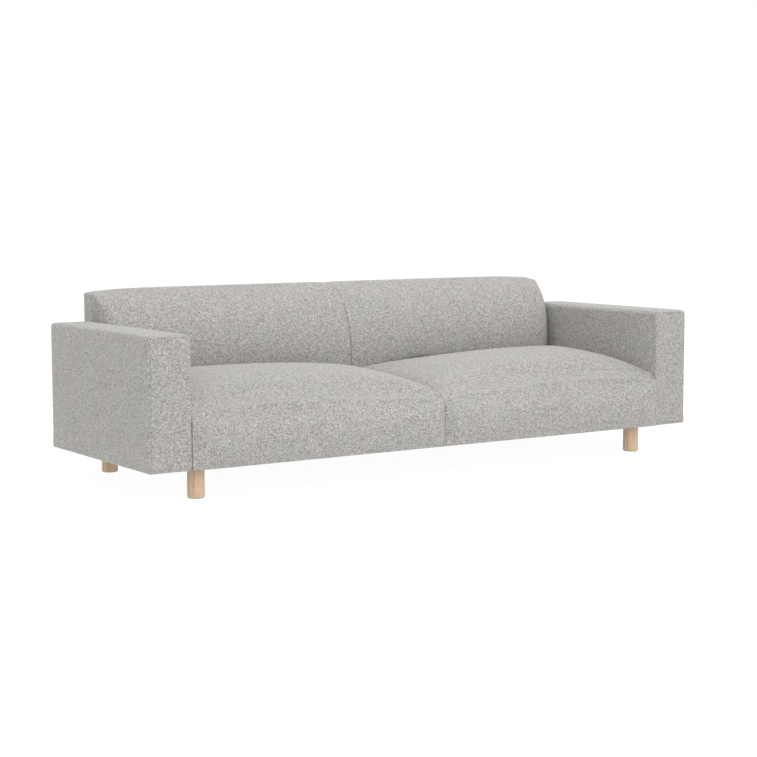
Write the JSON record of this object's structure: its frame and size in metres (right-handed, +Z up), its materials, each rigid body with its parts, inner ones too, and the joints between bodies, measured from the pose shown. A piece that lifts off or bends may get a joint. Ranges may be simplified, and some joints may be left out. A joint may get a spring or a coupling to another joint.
{
  "type": "sofa",
  "caption": "Low three-seat sofa with boxy arms, a tight two-part seat and back in light grey boucle fabric, on round oak legs.",
  "frame": {"origin": "on the floor under the middle of the sofa's overall box", "axes": "+X to the right as seen by someone facing the sofa's front, +Y from the front to the back, +Z up"},
  "size_m": [2.4, 0.8803, 0.682],
  "materials": {
    "upholstery": "light grey boucle weave with pale and dark flecks, matt",
    "leg_oak": "light oak, clear matt lacquer",
    "frame_wood": "sawn softwood and plywood, unfinished",
    "hardboard": "smooth brown hardboard",
    "foam": "cream polyurethane foam with polyester wadding",
    "felt": "needled grey felt",
    "glide_felt": "dense brown felt",
    "webbing": "black elastic webbing",
    "dust_cloth": "black spun-bonded cloth",
    "spring_steel": "drawn spring wire",
    "zinc_steel": "bright zinc plating"
  },
  "bodies": {
    "root": {"arm_bolts": "zinc_steel", "arm_bottom_rail_left": "frame_wood", "arm_bottom_rail_right": "frame_wood", "arm_cover_left": "upholstery", "arm_cover_right": "upholstery", "arm_front_post_left": "frame_wood", "arm_front_post_right": "frame_wood", "arm_inner_panel_left": "hardboard", "arm_inner_panel_right": "hardboard", "arm_inserts": "zinc_steel", "arm_outer_panel_left": "hardboard", "arm_outer_panel_right": "hardboard", "arm_padding_left": "foam", "arm_padding_right": "foam", "arm_rear_post_left": "frame_wood", "arm_rear_post_right": "frame_wood", "arm_top_rail_left": "frame_wood", "arm_top_rail_right": "frame_wood", "back_cover_left": "upholstery", "back_cover_right": "upholstery", "back_foam_left": "foam", "back_foam_right": "foam", "back_post_centre": "frame_wood", "back_post_left": "frame_wood", "back_post_right": "frame_wood", "back_strap_pad": "felt", "back_straps_left": "webbing", "back_straps_right": "webbing", "back_tack_rail": "frame_wood", "back_top_rail": "frame_wood", "dust_cover": "dust_cloth", "leg_block_front_left": "frame_wood", "leg_block_front_right": "frame_wood", "leg_block_rear_left": "frame_wood", "leg_block_rear_right": "frame_wood", "leg_bolts": "zinc_steel", "leg_front_left": "leg_oak", "leg_front_right": "leg_oak", "leg_glides": "glide_felt", "leg_nuts": "zinc_steel", "leg_rear_left": "leg_oak", "leg_rear_right": "leg_oak", "outside_back_board": "hardboard", "outside_back_cover": "upholstery", "seat_centre_stretcher": "frame_wood", "seat_cover_left": "upholstery", "seat_cover_right": "upholstery", "seat_foam_left": "foam", "seat_foam_right": "foam", "seat_front_rail": "frame_wood", "seat_front_wadding_left": "foam", "seat_front_wadding_right": "foam", "seat_rear_rail": "frame_wood", "seat_side_rail_left": "frame_wood", "seat_side_rail_right": "frame_wood", "seat_spring_pad": "felt", "seat_springs_left": "spring_steel", "seat_springs_right": "spring_steel", "spring_clips": "zinc_steel", "spring_tie_wires": "spring_steel"}
  },
  "joints": []
}
